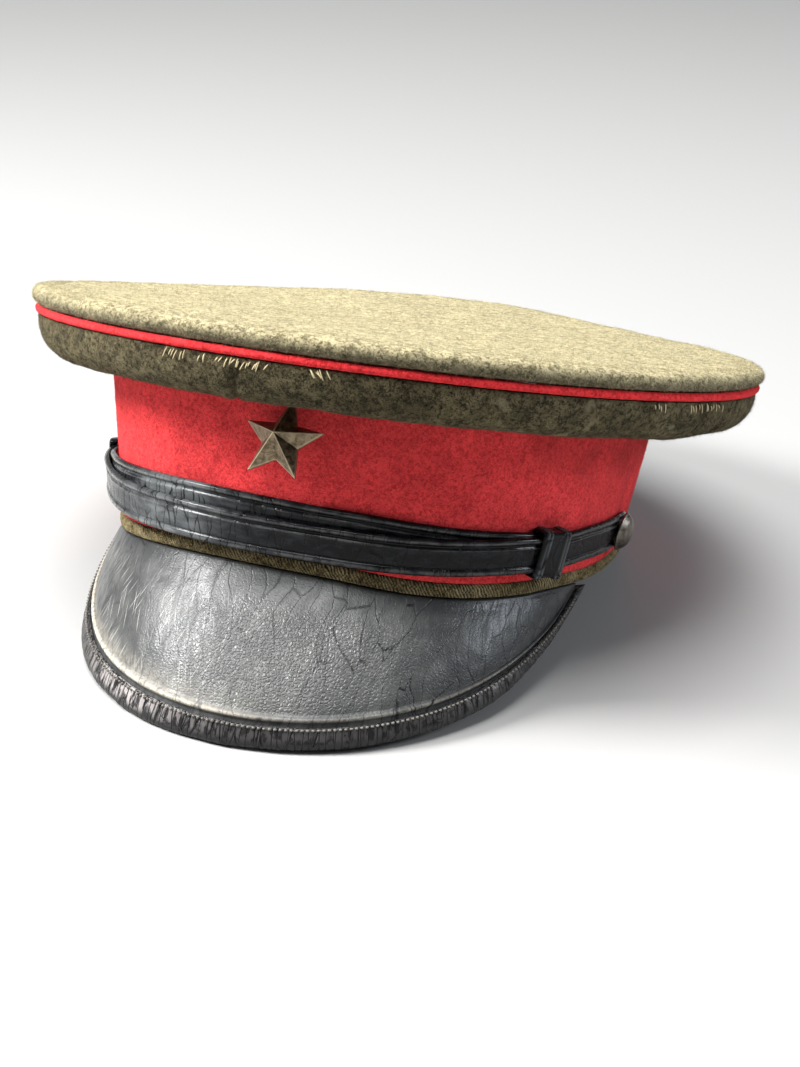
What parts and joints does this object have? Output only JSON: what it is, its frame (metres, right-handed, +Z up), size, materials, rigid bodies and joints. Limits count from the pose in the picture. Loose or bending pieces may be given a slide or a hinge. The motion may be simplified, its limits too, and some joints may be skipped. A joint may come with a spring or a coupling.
{
  "type": "visor cap",
  "caption": "Peaked visor cap with a wide flat wool crown, red band and piping, leather visor and chin strap, and a plain star badge.",
  "frame": {"origin": "centre of the bounding box, on the surface that the cap rests on", "axes": "+X towards the wearer's left, -Y towards the front of the cap, +Z up"},
  "size_m": [0.2501, 0.2836, 0.1235],
  "materials": {
    "crown_wool": "matt napped wool, light khaki olive, worn paler on top",
    "piping_wool": "matt red wool cord",
    "side_wool": "matt napped wool, dark mottled olive",
    "band_wool": "matt scarlet napped wool with darker mottling",
    "welt_wool": "threadbare olive wool edge with fine ribs",
    "visor_leather": "semi-gloss black leather, crazed and pebbled",
    "binding_leather": "worn black leather binding, crackled",
    "strap_leather": "glossy black patent leather with fine cracks",
    "slide_leather": "glossy black leather loop",
    "button_metal": "brushed dark bronze",
    "badge_metal": "dark bronze with bright worn ridges"
  },
  "bodies": {
    "root": {"crown_top": "crown_wool", "crown_piping": "piping_wool", "crown_side": "side_wool", "band": "band_wool", "band_welt": "welt_wool", "visor": "visor_leather", "visor_binding": "binding_leather", "strap_inner": "strap_leather", "strap_outer": "strap_leather", "slide_left": "slide_leather", "slide_right": "slide_leather", "button_left": "button_metal", "button_right": "button_metal", "star_badge": "badge_metal"}
  },
  "joints": []
}
